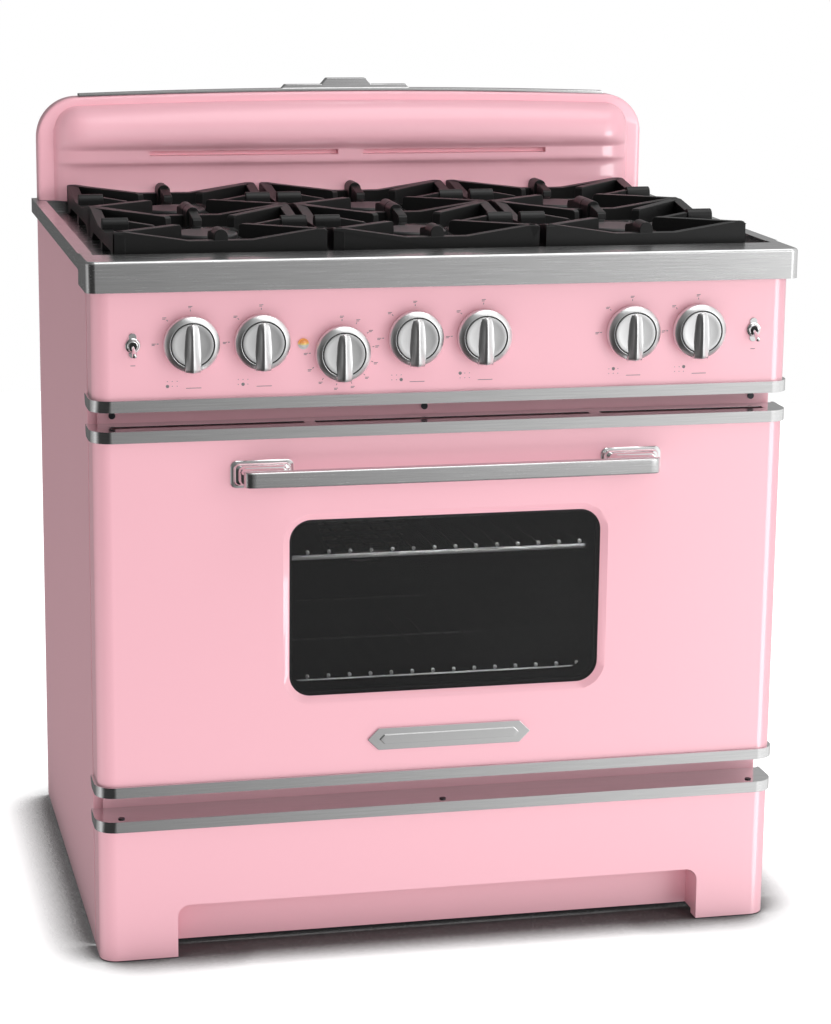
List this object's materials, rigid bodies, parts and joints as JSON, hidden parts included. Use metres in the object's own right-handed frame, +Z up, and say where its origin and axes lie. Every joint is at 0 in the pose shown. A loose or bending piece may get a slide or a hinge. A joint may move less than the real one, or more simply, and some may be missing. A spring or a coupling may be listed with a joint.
{
  "type": "freestanding gas range",
  "caption": "Retro-style freestanding gas range with grated burners, round-cornered painted body, bright trims, windowed drop-down oven door, control knobs and an arched backguard.",
  "frame": {"origin": "on the floor, under the middle of the overall box", "axes": "+Z up, the front with the door and the knobs faces -Y, +X is the viewer's right when facing the front"},
  "size_m": [0.914, 0.734, 1.0755],
  "materials": {
    "paint": "smooth gloss pink powder coat",
    "bright_trim": "satin bright trim",
    "stainless": "fine brushed stainless steel",
    "chrome_plate": "polished plating",
    "chrome_wire": "plated wire",
    "knob_metal": "satin plated knob",
    "galvanised": "galvanised sheet",
    "foot_steel": "plain zinc-plated steel",
    "enamel_dark": "speckled dark porcelain enamel",
    "burner_steel": "heat-tinted steel",
    "burner_alloy": "cast aluminium",
    "cap_enamel": "matte black enamel",
    "grate_iron": "matte black enamelled cast iron",
    "valve_brass": "machined brass",
    "oven_glass": "tinted heat-resistant glass",
    "lamp_glass": "frosted glass dome on a ceramic holder",
    "amber_lens": "translucent amber lens",
    "black_plastic": "moulded plastic",
    "insulation": "mineral wool slabs"
  },
  "bodies": {
    "cabinet": {"back_panel": "galvanised", "backguard": "paint", "backguard_trim": "bright_trim", "bake_burner": "burner_steel", "base_pan": "galvanised", "broil_burner": "burner_steel", "burner_caps": "cap_enamel", "burner_heads": "burner_alloy", "control_panel": "paint", "cooktop": "stainless", "fan_cover": "enamel_dark", "fan_motor": "foot_steel", "fixing_screws": "chrome_plate", "front_frame": "paint", "front_rail": "stainless", "gas_inlet": "valve_brass", "gas_manifold": "valve_brass", "hinge_arms": "foot_steel", "indicator_lamp": "amber_lens", "kick_panel": "paint", "kick_trim": "bright_trim", "levelling_feet": "foot_steel", "oven_insulation": "insulation", "oven_lamp": "lamp_glass", "oven_liner": "enamel_dark", "panel_trim": "bright_trim", "power_inlet": "black_plastic", "side_panel_left": "paint", "side_panel_right": "paint", "switch_bodies": "chrome_plate"},
    "door": {"door_shell": "paint", "door_panes": "oven_glass", "door_liner": "enamel_dark", "door_top_trim": "bright_trim", "door_bottom_trim": "bright_trim", "door_ornament": "chrome_plate", "handle_mounts": "chrome_plate", "handle_bar": "stainless", "door_hinge_brackets": "galvanised"},
    "lower_rack_body": {"lower_rack": "chrome_wire"},
    "upper_rack_body": {"upper_rack": "chrome_wire"},
    "fan_wheel_body": {"fan_wheel": "burner_steel"},
    "grate_left_body": {"grate_left": "grate_iron"},
    "grate_center_body": {"grate_center": "grate_iron"},
    "grate_right_body": {"grate_right": "grate_iron"},
    "oven_knob_body": {"oven_knob": "knob_metal"},
    "light_lever_body": {"light_lever": "chrome_plate"},
    "fan_lever_body": {"fan_lever": "chrome_plate"},
    "knob_left_front_body": {"knob_left_front": "knob_metal"},
    "stem_left_front_body": {"stem_left_front": "valve_brass"},
    "knob_left_rear_body": {"knob_left_rear": "knob_metal"},
    "stem_left_rear_body": {"stem_left_rear": "valve_brass"},
    "knob_center_front_body": {"knob_center_front": "knob_metal"},
    "stem_center_front_body": {"stem_center_front": "valve_brass"},
    "knob_center_rear_body": {"knob_center_rear": "knob_metal"},
    "stem_center_rear_body": {"stem_center_rear": "valve_brass"},
    "knob_right_front_body": {"knob_right_front": "knob_metal"},
    "stem_right_front_body": {"stem_right_front": "valve_brass"},
    "knob_right_rear_body": {"knob_right_rear": "knob_metal"},
    "stem_right_rear_body": {"stem_right_rear": "valve_brass"}
  },
  "joints": [
    {"name": "door_hinge", "type": "hinge", "parent": "cabinet", "child": "door", "pos_m": [0, -0.288, 0.232], "axis": [1, 0, 0], "range_deg": [0, 90], "stiffness_Nm_per_rad": 12, "springref_deg": -22.92},
    {"name": "upper_rack_slide", "type": "slide", "parent": "cabinet", "child": "upper_rack_body", "axis": [0, -1, 0], "range_m": [0, 0.32]},
    {"name": "lower_rack_slide", "type": "slide", "parent": "cabinet", "child": "lower_rack_body", "axis": [0, -1, 0], "range_m": [0, 0.16]},
    {"name": "fan_spin", "type": "hinge", "parent": "cabinet", "child": "fan_wheel_body", "pos_m": [0, 0.198, 0.45], "axis": [0, 1, 0], "continuous": true},
    {"name": "oven_knob_turn", "type": "hinge", "parent": "cabinet", "child": "oven_knob_body", "pos_m": [-0.1392, -0.322, 0.7847], "axis": [0, 1, 0], "range_deg": [0, 285]},
    {"name": "light_lever_flip", "type": "hinge", "parent": "cabinet", "child": "light_lever_body", "pos_m": [-0.4, -0.325, 0.8], "axis": [-1, 0, 0], "range_deg": [0, 50]},
    {"name": "fan_lever_flip", "type": "hinge", "parent": "cabinet", "child": "fan_lever_body", "pos_m": [0.4, -0.325, 0.8], "axis": [-1, 0, 0], "range_deg": [0, 50]},
    {"name": "grate_left_lift", "type": "slide", "parent": "cabinet", "child": "grate_left_body", "axis": [0, 0, 1], "range_m": [0, 0.025]},
    {"name": "grate_center_lift", "type": "slide", "parent": "cabinet", "child": "grate_center_body", "axis": [0, 0, 1], "range_m": [0, 0.025]},
    {"name": "grate_right_lift", "type": "slide", "parent": "cabinet", "child": "grate_right_body", "axis": [0, 0, 1], "range_m": [0, 0.025]},
    {"name": "stem_left_front_push", "type": "slide", "parent": "cabinet", "child": "stem_left_front_body", "axis": [0, 1, 0], "range_m": [0, 0.003], "stiffness_N_per_m": 800},
    {"name": "knob_left_front_turn", "type": "hinge", "parent": "stem_left_front_body", "child": "knob_left_front_body", "pos_m": [-0.3286, -0.322, 0.8012], "axis": [0, -1, 0], "range_deg": [0, 210]},
    {"name": "stem_left_rear_push", "type": "slide", "parent": "cabinet", "child": "stem_left_rear_body", "axis": [0, 1, 0], "range_m": [0, 0.003], "stiffness_N_per_m": 800},
    {"name": "knob_left_rear_turn", "type": "hinge", "parent": "stem_left_rear_body", "child": "knob_left_rear_body", "pos_m": [-0.2406, -0.322, 0.8012], "axis": [0, -1, 0], "range_deg": [0, 210]},
    {"name": "stem_center_front_push", "type": "slide", "parent": "cabinet", "child": "stem_center_front_body", "axis": [0, 1, 0], "range_m": [0, 0.003], "stiffness_N_per_m": 800},
    {"name": "knob_center_front_turn", "type": "hinge", "parent": "stem_center_front_body", "child": "knob_center_front_body", "pos_m": [-0.0462, -0.322, 0.8012], "axis": [0, -1, 0], "range_deg": [0, 210]},
    {"name": "stem_center_rear_push", "type": "slide", "parent": "cabinet", "child": "stem_center_rear_body", "axis": [0, 1, 0], "range_m": [0, 0.003], "stiffness_N_per_m": 800},
    {"name": "knob_center_rear_turn", "type": "hinge", "parent": "stem_center_rear_body", "child": "knob_center_rear_body", "pos_m": [0.0418, -0.322, 0.8012], "axis": [0, -1, 0], "range_deg": [0, 210]},
    {"name": "stem_right_front_push", "type": "slide", "parent": "cabinet", "child": "stem_right_front_body", "axis": [0, 1, 0], "range_m": [0, 0.003], "stiffness_N_per_m": 800},
    {"name": "knob_right_front_turn", "type": "hinge", "parent": "stem_right_front_body", "child": "knob_right_front_body", "pos_m": [0.2368, -0.322, 0.8012], "axis": [0, -1, 0], "range_deg": [0, 210]},
    {"name": "stem_right_rear_push", "type": "slide", "parent": "cabinet", "child": "stem_right_rear_body", "axis": [0, 1, 0], "range_m": [0, 0.003], "stiffness_N_per_m": 800},
    {"name": "knob_right_rear_turn", "type": "hinge", "parent": "stem_right_rear_body", "child": "knob_right_rear_body", "pos_m": [0.3247, -0.322, 0.8012], "axis": [0, -1, 0], "range_deg": [0, 210]}
  ],
  "couplings": [
    {"joint": "upper_rack_slide", "follows": "door_hinge", "m_per_rad": 0.2},
    {"joint": "lower_rack_slide", "follows": "door_hinge", "m_per_rad": 0.1}
  ]
}
